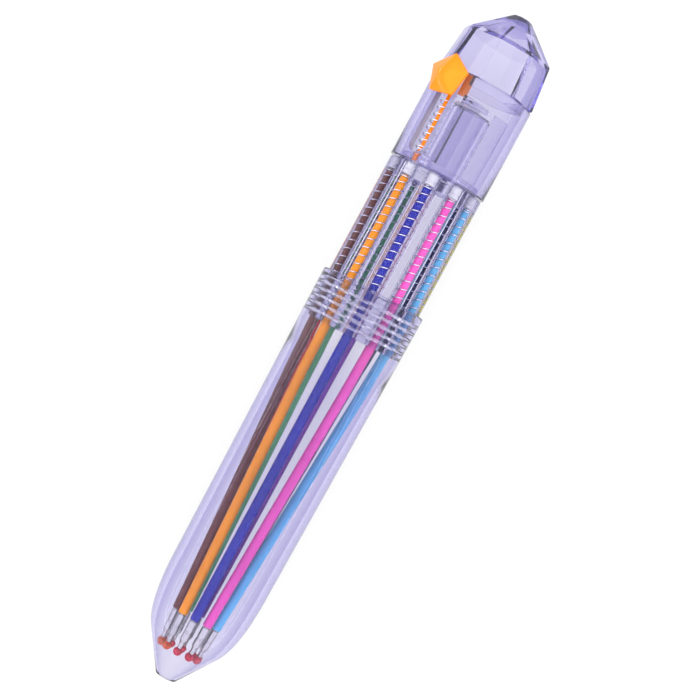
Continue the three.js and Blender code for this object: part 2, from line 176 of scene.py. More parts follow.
class PenShellSettings(bpy.types.PropertyGroup):
    tint: colour("Surface tint", "Colour of the clear plastic's skin", (0.98, 0.975, 0.995))
    flow_tint: colour("Flow tint", "The same along the lines that the melt flowed in",
                      (0.94, 0.93, 0.985))
    depth_tint: colour("Depth tint", "Colour that light takes on deep in the plastic",
                       (0.40, 0.35, 0.80))
    # Painted shade: a deep violet put into the clear plastic's colour where its surface turns away
    # from the view, standing in for dark edge lines
    painted_edge_shade: colour("Painted edge shade", "Colour of the surface where it turns away", (0.13, 0.09, 0.52))
    depth: FloatProperty(name="Tint depth", description="How fast the depth tint builds up, per metre",
                         default=130.0, min=0.0, max=2000.0)
    inner_depth: FloatProperty(name="Inner tint depth", description="The same in the inner mouldings",
                               default=30.0, min=0.0, max=2000.0)
    clarity: FloatProperty(name="Clarity", description="Share of light that isn't lost in haze",
                           default=0.995, min=0.0, max=1.0)
    cap_clarity: FloatProperty(name="Cap clarity", description="The same in the cap's mouldings",
                               default=0.97, min=0.0, max=1.0)
    facets: IntProperty(name="Facets round", description="Faces round each turned shell",
                        default=144, min=24, max=256)
    edge: length("Edge rounding", "Radius on the moulded edges", 0.18)
    thread_pitch: length("Thread pitch", "Travel of the screw thread in one turn", 1.48)
    thread_depth: length("Thread depth", "Height of the screw thread", 0.40)


class PenSliderSettings(bpy.types.PropertyGroup):
    gem: colour("Gem colour", "Colour of the slider and its button", (1.0, 0.26, 0.0))
    gem_edge: length("Gem edge", "Rounding on the button's facets", 0.14)
    slider_turns: IntProperty(name="Slider spring turns", description="Coils in the slider's spring",
                              default=10, min=3, max=30)


class PenRefillSettings(bpy.types.PropertyGroup):
    plug: colour("Plug colour", "Colour of the refills' upper ends", (0.62, 0.62, 0.66))
    wax: colour("Wax colour", "Colour of the seal on each tip", (0.80, 0.02, 0.06))
    refill_turns: IntProperty(name="Refill spring turns", description="Coils in a refill's spring",
                              default=15, min=3, max=30)
    wire: length("Wire radius", "Half the thickness of the spring wire", 0.125)
    coil: length("Coil radius", "Middle radius of a spring's coils", 1.29)


class PenStudioSettings(bpy.types.PropertyGroup):
    floor: colour("Floor colour", "Colour of the plain floor", (0.20, 0.20, 0.20))
    glow: FloatProperty(name="Floor glow", description="How strongly the light table shines",
                        default=0.70, min=0.0, max=5.0)
    sky: FloatProperty(name="Room light", description="Brightness of the white room",
                       default=2.2, min=0.0, max=5.0)
    strip: FloatProperty(name="Strip lights", description="Power of each strip light",
                         default=0.12, min=0.0, max=50.0, unit="POWER")
    distance: FloatProperty(name="Camera distance", description="From the camera to the pen's axis",
                            default=0.40, min=0.1, max=5.0, subtype="DISTANCE", unit="LENGTH")


# --- shapes: vertices as (station, y, z) from the pen's axis, in millimetres -----------
class Shape:
    """Vertices and faces of one closed surface, and ways to place it."""

    def __init__(self, verts, faces):
        self.verts = np.array(verts, float).reshape(-1, 3)
        self.faces = [tuple(face) for face in faces]

    def turned(self, angle):
        """The shape at an angle round the pen."""
        c, s = math.cos(math.radians(angle)), math.sin(math.radians(angle))
        x, y, z = self.verts.T
        return Shape(np.stack([x, y * c - z * s, y * s + z * c], 1), self.faces)

    def moved(self, station=0.0, y=0.0, z=0.0):
        return Shape(self.verts + (station, y, z), self.faces)

    def outward(self):
        """The shape with its faces pointing out."""
        total = 0.0
        for face in self.faces:
            a = self.verts[face[0]]
            for j, k in zip(face[1:-1], face[2:]):
                total += float(np.dot(a, np.cross(self.verts[j], self.verts[k])))
        if total < 0:
            return Shape(self.verts, [face[::-1] for face in self.faces])
        return self


def curve(start, bend, end, steps):
    """Points on a quadratic curve from start to end."""
    a, b, c = (np.array(p, float) for p in (start, bend, end))
    return [tuple((1 - t) ** 2 * a + 2 * t * (1 - t) * b + t * t * c)
            for t in np.linspace(0, 1, steps + 1)]


def rounded(outline, radius, steps=3, closed=True, sharpest=12.0):
    """The outline with each real corner rounded off. An open outline keeps its two ends."""
    points = [np.array(p, float) for p in outline]
    out = []
    for i, here in enumerate(points):
        if not closed and i in (0, len(points) - 1):
            out.append(tuple(here))
            continue
        before, after = points[i - 1], points[(i + 1) % len(points)]
        back, on = before - here, after - here
        reach = min(np.linalg.norm(back), np.linalg.norm(on))
        back, on = back / np.linalg.norm(back), on / np.linalg.norm(on)
        bend = math.degrees(math.acos(max(-1.0, min(1.0, float(-back @ on)))))
        if bend < sharpest:
            out.append(tuple(here))
            continue
        cut = min(radius * math.tan(math.radians(bend) / 2), reach * 0.45)
        out += curve(here + back * cut, here, here + on * cut, steps)
    return out


def lathe(outline, count, axis=None):
    """Turn an outline of (station, radius) round the pen's axis, or round another line, which a
    function from station to (centre, normal) gives."""
    verts, rows = [], []
    for station, radius in outline:
        if axis:
            centre, normal = axis(station)
        else:
            centre, normal = np.array((station, 0.0, 0.0)), np.array((0.0, 0.0, 1.0))
        if abs(radius) < 1e-6:
            rows.append([len(verts)])
            verts.append(centre)
            continue
        rows.append(list(range(len(verts), len(verts) + count)))
        for k in range(count):
            turn = 2 * math.pi * k / count
            side = np.array((0.0, -math.sin(turn), 0.0))
            verts.append(centre + radius * (math.cos(turn) * normal + side))
    faces = []
    open_ends = len(rows[0]) == 1 and len(rows[-1]) == 1
    pairs = list(zip(rows, rows[1:])) + ([] if open_ends else [(rows[-1], rows[0])])
    for low, high in pairs:
        for k in range(count):
            n = (k + 1) % count
            ring = []
            for i in (low[k % len(low)], low[n % len(low)], high[n % len(high)], high[k % len(high)]):
                if i not in ring:
                    ring.append(i)
            if len(ring) > 2:
                faces.append(tuple(ring))
    return Shape(verts, faces).outward()


def prism(points, low, high):
    """A flat shape of (station, y) points, raised from one height to another."""
    n = len(points)
    verts = [(u, y, z) for z in (low, high) for u, y in points]
    faces = [tuple(range(n)), tuple(range(n, 2 * n))[::-1]]
    faces += [(i, (i + 1) % n, n + (i + 1) % n, n + i)[::-1] for i in range(n)]
    return Shape(verts, faces).outward()


def block(stations, across, heights):
    """A box between two stations, two places across the pen and two heights."""
    (a, b), (c, d) = stations, across
    return prism([(a, c), (b, c), (b, d), (a, d)], *heights)


def refill_line(station):
    """Centre and normal of a refill at angle 0, square to the way it runs."""
    ahead = refill_radius(station + 0.05) - refill_radius(station - 0.05)
    lean = math.atan2(ahead, 0.1)
    return (np.array((station, 0.0, refill_radius(station))),
            np.array((-math.sin(lean), 0.0, math.cos(lean))))


def height_at(station, start, end):
    """The radius at a station of the straight line between two outline points."""
    return start[1] + (end[1] - start[1]) * (station - start[0]) / (end[0] - start[0])


def washer(low, high, inner, outer):
    """The outline of a plain ring between two stations."""
    return [(low, inner), (low, outer), (high, outer), (high, inner)]


def rod(low, high, radius, count):
    """A plain solid rod between two stations."""
    return lathe(washer(low, high, 0.0, radius), count)


# --- objects --------------------------------------------------------------------------
def put(name, shape, angle=0.0):
    """A mesh object of a shape, in the row frame."""
    shape = shape.turned(angle) if angle else shape
    verts = shape.verts * MM + (NOSE_X, 0.0, AXIS_Z)
    mesh = bpy.data.meshes.new(name)
    mesh.from_pydata(verts.tolist(), [], shape.faces)
    mesh.update()
    obj = bpy.data.objects.new(name, mesh)
    bpy.context.scene.collection.objects.link(obj)
    return obj


def settle(obj):
    """Make the result of an object's modifiers its plain mesh."""
    graph = bpy.context.evaluated_depsgraph_get()
    mesh = bpy.data.meshes.new_from_object(obj.evaluated_get(graph))
    obj.modifiers.clear()
    old, obj.data = obj.data, mesh
    mesh.name = obj.name
    if old.users == 0:
        bpy.data.meshes.remove(old)
    return obj


def carve(obj, tool, operation="DIFFERENCE"):
    """Cut a tool shape out of an object, or join it on."""
    cutter = tool if isinstance(tool, bpy.types.Object) else put("cutter", tool)
    modifier = obj.modifiers.new("Carve", "BOOLEAN")
    modifier.operation = operation
    modifier.solver = "EXACT"
    modifier.object = cutter
    settle(obj)
    bpy.data.objects.remove(cutter)
    return obj


def soften(obj, width, segments=3, angle=40.0):
    """Round off an object's sharp edges."""
    modifier = obj.modifiers.new("Edges", "BEVEL")
    modifier.width = width
    modifier.segments = segments
    modifier.limit_method = "ANGLE"
    modifier.angle_limit = math.radians(angle)
    modifier.use_clamp_overlap = True
    modifier.harden_normals = False
    return settle(obj)


def finish_surface(obj, material, angle=38.0):
    """Smooth shading with real corners kept, and one material."""
    mesh = obj.data
    mesh.materials.clear()
    mesh.materials.append(material)
    mesh.shade_smooth()
    mesh.set_sharp_from_angle(angle=math.radians(angle))
    return obj


# --- node trees -----------------------------------------------------------------------
NUMBER, VECTOR, COLOUR = "NodeSocketFloat", "NodeSocketVector", "NodeSocketColor"
GEOMETRY, MATERIAL, WHOLE = "NodeSocketGeometry", "NodeSocketMaterial", "NodeSocketInt"


def link(tree, source, target):
    tree.links.new(source, target)


def node(tree, kind, inputs=(), **settings):
    """One node with its settings, and what its inputs take: plain values or other sockets."""
    made = tree.nodes.new(kind)
    for key, value in settings.items():
        setattr(made, key, value)
    for key, value in dict(inputs).items():
        if isinstance(value, bpy.types.NodeSocket):
            link(tree, value, made.inputs[key])
        else:
            made.inputs[key].default_value = value
    return made


def calc(tree, operation, *inputs):
    """One Math node. Its inputs are numbers or sockets."""
    return node(tree, "ShaderNodeMath", enumerate(inputs), operation=operation).outputs[0]


def combine(tree, **parts):
    """A vector of its X, Y and Z parts."""
    return node(tree, "ShaderNodeCombineXYZ", parts).outputs[0]


def new_tree(name, kind, inputs, outputs):
    """A tree with inputs, each a name, kind and default, and outputs, each a name and kind."""
    tree = bpy.data.node_groups.new(name, kind)
    for label, socket, *default in inputs:
        made = tree.interface.new_socket(label, in_out="INPUT", socket_type=socket)
        if default:
            made.default_value = default[0]
    for label, socket in outputs:
        tree.interface.new_socket(label, in_out="OUTPUT", socket_type=socket)
    return tree, node(tree, "NodeGroupInput").outputs, node(tree, "NodeGroupOutput").inputs


def once(collection, name, build):
    """A named data block, built the first time it is asked for."""
    return collection.get(name) or build()


def close_tree(tree, given, out, geometry):
    """End a geometry tree in Realize Instances and Set Material."""
    real = node(tree, "GeometryNodeRealizeInstances", {"Geometry": geometry})
    paint = node(tree, "GeometryNodeSetMaterial", {
        "Geometry": real.outputs["Geometry"], "Material": given["Material"],
    })
    link(tree, paint.outputs["Geometry"], out["Geometry"])
    return tree


def grow(obj, tree, values):
    """Run a tree on an object with named inputs, and keep the result as its mesh."""
    modifier = obj.modifiers.new(tree.name, "NODES")
    modifier.node_group = tree
    for item in tree.interface.items_tree:
        if item.in_out == "INPUT" and item.name in values:
            modifier[item.identifier] = values[item.name]
    return settle(obj)


def spring_tree():
    """A compression spring along X with its end coils closed up."""
    tree, given, out = new_tree("Coil spring", "GeometryNodeTree", [
        ("Start", VECTOR, (0.0, 0.0, 0.0)), ("Length", NUMBER, 0.02), ("Turns", NUMBER, 10.0),
        ("Coil Radius", NUMBER, 0.0013), ("Wire Radius", NUMBER, 0.00012),
        ("Steps a Turn", NUMBER, 24.0), ("First Angle", NUMBER, 0.0), ("Material", MATERIAL),
    ], [("Geometry", GEOMETRY)])
    line = node(tree, "GeometryNodeCurvePrimitiveLine", {"End": (1.0, 0.0, 0.0)})
    points = node(tree, "GeometryNodeResampleCurve", {
        "Curve": line.outputs["Curve"],
        "Count": calc(tree, "MULTIPLY", given["Turns"], given["Steps a Turn"]),
    })
    along = node(tree, "GeometryNodeSplineParameter").outputs["Factor"]
    pitch = node(tree, "ShaderNodeFloatCurve", {"Value": along})
    line_points = pitch.mapping.curves[0].points
    for x, y in ((0.07, 0.016), (0.12, 0.06), (0.88, 0.94), (0.93, 0.984)):
        line_points.new(x, y)
    for point in line_points:
        point.handle_type = "VECTOR"
    pitch.mapping.update()
    turn = calc(tree, "MULTIPLY_ADD", calc(tree, "MULTIPLY", along, given["Turns"]),
                -2 * math.pi, given["First Angle"])
    wires = calc(tree, "MULTIPLY", given["Wire Radius"], 2.0)
    room = calc(tree, "SUBTRACT", given["Length"], wires)
    place = combine(
        tree, X=calc(tree, "MULTIPLY_ADD", pitch.outputs["Value"], room, given["Wire Radius"]),
        Y=calc(tree, "MULTIPLY", calc(tree, "SINE", turn), given["Coil Radius"]),
        Z=calc(tree, "MULTIPLY", calc(tree, "COSINE", turn), given["Coil Radius"]))
    whole = node(tree, "ShaderNodeVectorMath", {0: place, 1: given["Start"]}, operation="ADD")
    bent = node(tree, "GeometryNodeSetPosition", {
        "Geometry": points.outputs["Curve"], "Position": whole.outputs[0],
    })
    wire = node(tree, "GeometryNodeCurvePrimitiveCircle", {
        "Resolution": 8, "Radius": given["Wire Radius"],
    })
    solid = node(tree, "GeometryNodeCurveToMesh", {
        "Curve": bent.outputs["Geometry"], "Profile Curve": wire.outputs["Curve"],
        "Fill Caps": True,
    })
    return close_tree(tree, given, out, solid.outputs["Mesh"])


def thread_tree():
    """Raises a right-handed screw thread on the rows that the attribute thread_zone marks."""
    tree, given, out = new_tree("Screw thread", "GeometryNodeTree", [
        ("Geometry", GEOMETRY), ("Start", NUMBER, 0.0), ("Length", NUMBER, 0.009),
        ("Pitch", NUMBER, 0.0015), ("Depth", NUMBER, 0.0004), ("Foot", NUMBER, 0.0004),
        ("Phase", NUMBER, 0.0), ("Axis Height", NUMBER, 0.0), ("Material", MATERIAL),
    ], [("Geometry", GEOMETRY)])
    position = node(tree, "GeometryNodeInputPosition").outputs[0]
    place = node(tree, "ShaderNodeSeparateXYZ", {0: position}).outputs
    along = calc(tree, "SUBTRACT", place["X"], given["Start"])
    up = calc(tree, "SUBTRACT", place["Z"], given["Axis Height"])
    turn = calc(tree, "ARCTAN2", calc(tree, "MULTIPLY", place["Y"], -1.0), up)
    turns = calc(tree, "DIVIDE", turn, 2 * math.pi)
    travel = calc(tree, "ADD", calc(tree, "DIVIDE", along, given["Pitch"]), given["Phase"])
    part = calc(tree, "FRACT", calc(tree, "SUBTRACT", travel, turns))
    away = calc(tree, "ABSOLUTE", calc(tree, "SUBTRACT", part, 0.5))
    share = calc(tree, "DIVIDE", calc(tree, "MULTIPLY", away, given["Pitch"]), given["Foot"])

    def smooth(value, low, high):
        return node(tree, "ShaderNodeMapRange", {
            "From Min": low, "From Max": high, "Value": value,
        }, interpolation_type="SMOOTHSTEP").outputs["Result"]

    to_end = calc(tree, "SUBTRACT", given["Length"], along)
    fades = [smooth(calc(tree, "DIVIDE", distance, given["Pitch"]), 0.05, 0.75)
             for distance in (along, to_end)]
    zone = node(tree, "GeometryNodeInputNamedAttribute", {"Name": "thread_zone"},
                data_type="FLOAT")
    height = calc(tree, "MULTIPLY", smooth(share, 1.0, 0.12), calc(tree, "MULTIPLY", *fades))
    height = calc(tree, "MULTIPLY", height, zone.outputs["Attribute"])
    height = calc(tree, "MULTIPLY", height, given["Depth"])
    unit = node(tree, "ShaderNodeVectorMath", {0: combine(tree, Y=place["Y"], Z=up)},
                operation="NORMALIZE")
    raised = node(tree, "ShaderNodeVectorMath", {0: unit.outputs[0], "Scale": height},
                  operation="SCALE")
    moved = node(tree, "GeometryNodeSetPosition", {
        "Geometry": given["Geometry"], "Offset": raised.outputs[0],
    })
    return close_tree(tree, given, out, moved.outputs["Geometry"])


def ring_tree():
    """Repeats a shape round the pen's axis, which it is drawn about, and lifts it into place."""
    tree, given, out = new_tree("Round the axis", "GeometryNodeTree", [
        ("Geometry", GEOMETRY), ("Count", WHOLE, 10), ("First Angle", NUMBER, 0.0),
        ("Axis Height", NUMBER, 0.0), ("Material", MATERIAL),
    ], [("Geometry", GEOMETRY)])
    spots = node(tree, "GeometryNodePoints", {"Count": given["Count"]})
    step = calc(tree, "DIVIDE", 2 * math.pi, given["Count"])
    index = node(tree, "GeometryNodeInputIndex").outputs[0]
    turn = calc(tree, "MULTIPLY_ADD", index, step, given["First Angle"])
    copies = node(tree, "GeometryNodeInstanceOnPoints", {
        "Points": spots.outputs[0], "Instance": given["Geometry"],
        "Rotation": combine(tree, X=turn),
    })
    raised = node(tree, "GeometryNodeTransform", {
        "Geometry": copies.outputs["Instances"],
        "Translation": combine(tree, Z=given["Axis Height"]),
    })
    return close_tree(tree, given, out, raised.outputs["Geometry"])


def object_place(tree):
    """The place on the piece that a pattern reads."""
    return node(tree, "ShaderNodeTexCoord").outputs["Object"]


def noise(tree, vector, scale, detail=2.0, stretch=(1.0, 1.0, 1.0)):
    """A noise value on a vector stretched along an axis."""
    mapping = node(tree, "ShaderNodeMapping", {"Scale": stretch, "Vector": vector})
    return node(tree, "ShaderNodeTexNoise", {
        "Detail": detail, "Scale": scale, "Vector": mapping.outputs[0],
    }).outputs["Fac"]


def spread(tree, value, low, high):
    """Map a value's middle range between two sockets or numbers."""
    return node(tree, "ShaderNodeMapRange", {
        "From Min": 0.3, "From Max": 0.7, "Value": value, "To Min": low, "To Max": high,
    }).outputs["Result"]


def mix_colours(tree, share, first, second):
    return node(tree, "ShaderNodeMix", {"Factor": share, 6: first, 7: second},
                data_type="RGBA").outputs[2]


def moulded_group():
    """Flow ripples and polish differences of moulded plastic."""
    tree, given, out = new_tree("Moulded Surface", "ShaderNodeTree", [
        ("Ripple Scale", NUMBER, 140.0), ("Roughness Low", NUMBER, 0.02),
        ("Roughness High", NUMBER, 0.08), ("Grain Scale", NUMBER, 2200.0),
        ("Grain", NUMBER, 0.1),
    ], [("Roughness", NUMBER), ("Height", NUMBER)])
    place = object_place(tree)
    ripple = noise(tree, place, given["Ripple Scale"], 1.5, (0.06, 1.0, 1.0))
    grain = noise(tree, place, given["Grain Scale"], 3.0)
    polish = noise(tree, place, given["Ripple Scale"], 4.0)
    link(tree, spread(tree, polish, given["Roughness Low"], given["Roughness High"]),
         out["Roughness"])
    link(tree, calc(tree, "MULTIPLY_ADD", grain, given["Grain"], ripple), out["Height"])
    return tree


def drift_group():
    """Two colours that drift into each other, as dye and ink do."""
    tree, given, out = new_tree("Colour Drift", "ShaderNodeTree", [
        ("Colour A", COLOUR, (1.0, 1.0, 1.0, 1.0)), ("Colour B", COLOUR, (0.8, 0.8, 0.8, 1.0)),
        ("Scale", NUMBER, 60.0),
    ], [("Colour", COLOUR)])
    drift = noise(tree, object_place(tree), given["Scale"], 3.0, (0.15, 1.0, 1.0))
    share = spread(tree, drift, 0.0, 1.0)
    link(tree, mix_colours(tree, share, given["Colour A"], given["Colour B"]), out["Colour"])
    return tree


def turning_group():
    """Fine rings that a lathe or a drawing die leaves along a part."""
    tree, given, out = new_tree("Tool Marks", "ShaderNodeTree", [
        ("Rings per Metre", NUMBER, 9000.0), ("Wander", NUMBER, 0.25),
        ("Roughness Low", NUMBER, 0.15), ("Roughness High", NUMBER, 0.3),
    ], [("Roughness", NUMBER), ("Height", NUMBER)])
    place = object_place(tree)
    along = node(tree, "ShaderNodeSeparateXYZ", {0: place}).outputs["X"]
    wander = calc(tree, "MULTIPLY", noise(tree, place, 900.0), given["Wander"])
    rings = calc(tree, "MULTIPLY_ADD", along, given["Rings per Metre"], wander)
    link(tree, calc(tree, "SINE", calc(tree, "MULTIPLY", rings, 2 * math.pi)), out["Height"])
    patches = noise(tree, place, 700.0, 4.0)
    link(tree, spread(tree, patches, given["Roughness Low"], given["Roughness High"]),
         out["Roughness"])
    return tree


# --- materials ------------------------------------------------------------------------
def rgba(rgb):
    return (*rgb, 1.0)


def darker(rgb, share):
    return tuple(c * share for c in rgb)


def use_group(tree, name, build, **values):
    """Place a shader node group with its own values, and give its outputs."""
    made = node(tree, "ShaderNodeGroup", node_tree=once(bpy.data.node_groups, name, build))
    for key, value in values.items():
        made.inputs[key.replace("_", " ")].default_value = value
    return made.outputs


def new_material(name, **constants):
    """A material of one Principled shader with the given constants."""
    material = bpy.data.materials.new(name)
    material.use_nodes = True
    tree = material.node_tree
    tree.nodes.clear()
    named = {key.replace("_", " "): value for key, value in constants.items()}
    shader = node(tree, "ShaderNodeBsdfPrincipled", named)
    node(tree, "ShaderNodeOutputMaterial", {"Surface": shader.outputs[0]})
    return material, tree, shader.inputs


def drifting(tree, first, second, scale):
    """Two colours that drift into each other."""
    return use_group(tree, "Colour Drift", drift_group, Colour_A=rgba(first),
                     Colour_B=rgba(second), Scale=scale)["Colour"]


def relief(tree, shader, surface, strength, distance):
    """Take roughness and bump from a surface group's outputs."""
    link(tree, surface["Roughness"], shader["Roughness"])
    made = node(tree, "ShaderNodeBump", {
        "Strength": strength, "Distance": distance, "Height": surface["Height"],
    })
    link(tree, made.outputs[0], shader["Normal"])


def moulded_skin(tree, shader, ripple, low, high, grain, strength, distance=0.0001):
    """The skin of a moulding: its ripples' scale, roughness, grain and bump."""
    skin = use_group(tree, "Moulded Surface", moulded_group, Ripple_Scale=ripple,
                     Roughness_Low=low, Roughness_High=high, Grain=grain)
    relief(tree, shader, skin, strength, distance)


def moulded(name, first, second, drift, skin, **constants):
    """An opaque or milky moulding in two colours that drift into each other."""
    material, tree, shader = new_material(name, **constants)
    link(tree, drifting(tree, first, second, drift), shader["Base Color"])
    moulded_skin(tree, shader, *skin)
    return material


def clear_plastic(name="clear_lavender", ior=1.43, clarity=None, depth=None):
    """Tinted clear plastic that takes on colour with depth, and painted edge shade where its surface
    turns away from the view.
    """
    shell = bpy.context.scene.pen_shell
    material, tree, shader = new_material(
        name, Specular_Tint=(0.3, 0.3, 0.35, 1.0), IOR=ior,
        Transmission_Weight=clarity or shell.clarity)
    inside = node(tree, "ShaderNodeVolumeAbsorption", {
        "Color": rgba(shell.depth_tint), "Density": depth or shell.depth,
    })
    link(tree, inside.outputs[0], tree.nodes["Material Output"].inputs["Volume"])
    # Painted shade: the base colour turns towards the painted edge shade as the surface turns away
    # from the view
    facing = node(tree, "ShaderNodeLayerWeight").outputs["Facing"]
    tint = drifting(tree, shell.tint, shell.flow_tint, 120.0)
    link(tree, mix_colours(tree, calc(tree, "POWER", facing, 1.7), tint, rgba(shell.painted_edge_shade)),
         shader["Base Color"])
    moulded_skin(tree, shader, 420.0, 0.0, 0.04, 0.02, 0.12)
    return material


def cap_plastic():
    """The cap's clear plastic, which bends light less and has a slight haze."""
    return clear_plastic("clear_cap", 1.29, clarity=bpy.context.scene.pen_shell.cap_clarity)


def inner_plastic():
    """The inner mouldings' clear plastic, paler so that the refills stay readable."""
    return clear_plastic("clear_inner", 1.2, depth=bpy.context.scene.pen_shell.inner_depth)


def frosted_plastic():
    """The fine-ground look that a slot's walls keep from the mould, its colour drifting between the
    painted edge shade and the surface tint.
    """
    shell = bpy.context.scene.pen_shell
    return moulded("frosted_wall_painted_shade", shell.painted_edge_shade, shell.tint, 300.0,
                   (500.0, 0.3, 0.5, 0.4, 0.2), Transmission_Weight=0.5, IOR=1.33)


def gem_plastic():
    """Milky orange plastic, redder where the dye is thick."""
    gem = bpy.context.scene.pen_slider.gem
    return moulded("amber_gem", gem, (1.0, *darker(gem, 0.72)[1:]), 180.0,
                   (260.0, 0.06, 0.16, 0.05, 0.2), Transmission_Weight=0.12,
                   Specular_IOR_Level=0.25, IOR=1.46)


def white_plastic():
    plug = bpy.context.scene.pen_refills.plug
    return moulded("white_plug", plug, darker(plug, 0.9), 400.0, (500.0, 0.3, 0.5, 0.4, 0.25))


def wax(name, rgb):
    return moulded(name, rgb, darker(rgb, 0.7), 1500.0,
                   (1400.0, 0.3, 0.55, 0.3, 0.5, 0.00015),
                   Subsurface_Weight=0.15, Subsurface_Scale=0.0006)


def ink(name, rgb):
    """Ink seen in a polished tube, a little darker in streaks."""
    return moulded(f"{name}_ink", rgb, darker(rgb, 0.8), 520.0,
                   (600.0, 0.2, 0.38, 0.15, 0.15, 0.00008),
                   Specular_IOR_Level=0.2, Coat_Roughness=0.08, Coat_Weight=0.08)


def bright_metal(name, rgb, rings, low, high, strength):
    """Bare metal with its tool marks: rings to the metre, roughness and bump."""
    material, tree, shader = new_material(name, Metallic=1.0)
    link(tree, drifting(tree, rgb, darker(rgb, 0.82), 900.0), shader["Base Color"])
    marks = use_group(tree, "Tool Marks", turning_group, Rings_per_Metre=rings,
                      Roughness_Low=low, Roughness_High=high)
    relief(tree, shader, marks, strength, 0.00002)
    return material


def floor_material():
    studio = bpy.context.scene.pen_studio
    return new_material("pale_floor", Roughness=0.7, Base_Color=rgba(studio.floor),
                        Emission_Color=rgba((1.0, 1.0, 1.0)), Emission_Strength=studio.glow)[0]


# --- pieces ---------------------------------------------------------------------------
def mark_thread_zone(obj, low, high, radius):
    """Mark the rows that a thread is raised on: those at one radius between two stations."""
    mesh = obj.data
    zone = mesh.attributes.new("thread_zone", "FLOAT", "POINT")
    place = np.array([v.co for v in mesh.vertices])
    station = (place[:, 0] - NOSE_X) / MM
    away = np.hypot(place[:, 1], place[:, 2] - AXIS_Z) / MM
    on = (np.abs(away - radius) < 0.02) & (station > low) & (station < high)
    zone.data.foreach_set("value", on.astype(np.float32))


def thread(obj, depth, phase):
    """Raise the barrel's or the carrier's half of the screw thread."""
    grow(obj, once(bpy.data.node_groups, "Screw thread", thread_tree), {
        "Start": NOSE_X + CARRIER_LOW * MM,
        "Length": (THREAD_END - CARRIER_LOW) * MM + THREAD_RUN_OUT * MM,
        "Pitch": bpy.context.scene.pen_shell.thread_pitch, "Depth": depth,
        "Foot": THREAD_FOOT * MM, "Phase": phase, "Axis Height": AXIS_Z,
    })
    obj.data.attributes.remove(obj.data.attributes["thread_zone"])


def rows_between(low, high, radius, step=0.1):
    count = max(2, round(abs(high - low) / step))
    return [(u, radius) for u in np.linspace(low, high, count + 1)]


def build_barrel():
    shell = bpy.context.scene.pen_shell
    edge = shell.edge / MM
    land = (NOSE_HOLE + NOSE_WALL_ACROSS - NOSE_END_RADIUS) / CONE_SLOPE
    rim = [(land, NOSE_HOLE), (0.0, NOSE_HOLE), (0.0, NOSE_END_RADIUS), CONE_END]
    outline = rounded(rim, edge, closed=False)[:-1]
    outline += curve(CONE_END, BEND, SHOULDER_END, NOSE_STEPS)
    outline += [(u, height_at(u, SHOULDER_END, (LIP_START, LIP_RADIUS)))
                for u in np.linspace(*OUTER_ROWS)]
    outline += rounded([
        (LIP_START - LIP_RUN, LIP_RADIUS - LIP_RISE), (LIP_START, LIP_RADIUS),
        (BARREL_END, LIP_RADIUS), (BARREL_END, BARREL_BORE),
        (BARREL_END - MOUTH_EDGE, BARREL_BORE),
    ], edge * 1.4, closed=False, sharpest=0.4)
    outline += rows_between(BARREL_END - 0.7, BORE_START, BARREL_BORE)
    step_start, step_middle, step_foot, step_end = BORE_STEP
    outline += curve((BORE_START - 0.2, BARREL_BORE), step_start, step_middle, BORE_STEPS)
    outline += curve(step_middle, step_foot, step_end, BORE_STEPS)[1:]
    inner_bend, inner_shoulder = ((u, r - BARREL_WALL) for u, r in (BEND, SHOULDER_END))
    outline += [(u, height_at(u, inner_shoulder, step_end)) for u in np.linspace(*INNER_ROWS)]
    inner_cone = (CONE_END[0], CONE_END[1] - NOSE_WALL_ACROSS)
    outline += curve(inner_shoulder, inner_bend, inner_cone, NOSE_STEPS)
    obj = put("clear_barrel", lathe(outline, shell.facets))
    mark_thread_zone(obj, BORE_START + 0.05, BARREL_END - 0.65, BARREL_BORE)
    thread(obj, -shell.thread_depth, 0.5)
    finish_surface(obj, once(bpy.data.materials, "clear_lavender", clear_plastic))
    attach(obj, "root")
    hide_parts("lower_barrel")


def channel_cutters():
    """Ten stepped holes for the refills and their springs."""
    foot, head = CARRIER_LOW - OVERCUT, CARRIER_HIGH + OVERCUT
    outline = [(foot, 0.0), (foot, GUIDE_HOLE), (SPRING_SEAT, GUIDE_HOLE),
               (SPRING_SEAT, CHANNEL), (head, CHANNEL), (head, 0.0)]
    cutter = put("cutter", lathe(outline, HOLE_FACETS).moved(z=REFILL_CIRCLE))
    cutter.data.transform(Matrix.Translation((0.0, 0.0, -AXIS_Z)))
    return grow(cutter, once(bpy.data.node_groups, "Round the axis", ring_tree), {
        "Count": len(INKS), "First Angle": math.radians(FIRST_ANGLE), "Axis Height": AXIS_Z,
    })


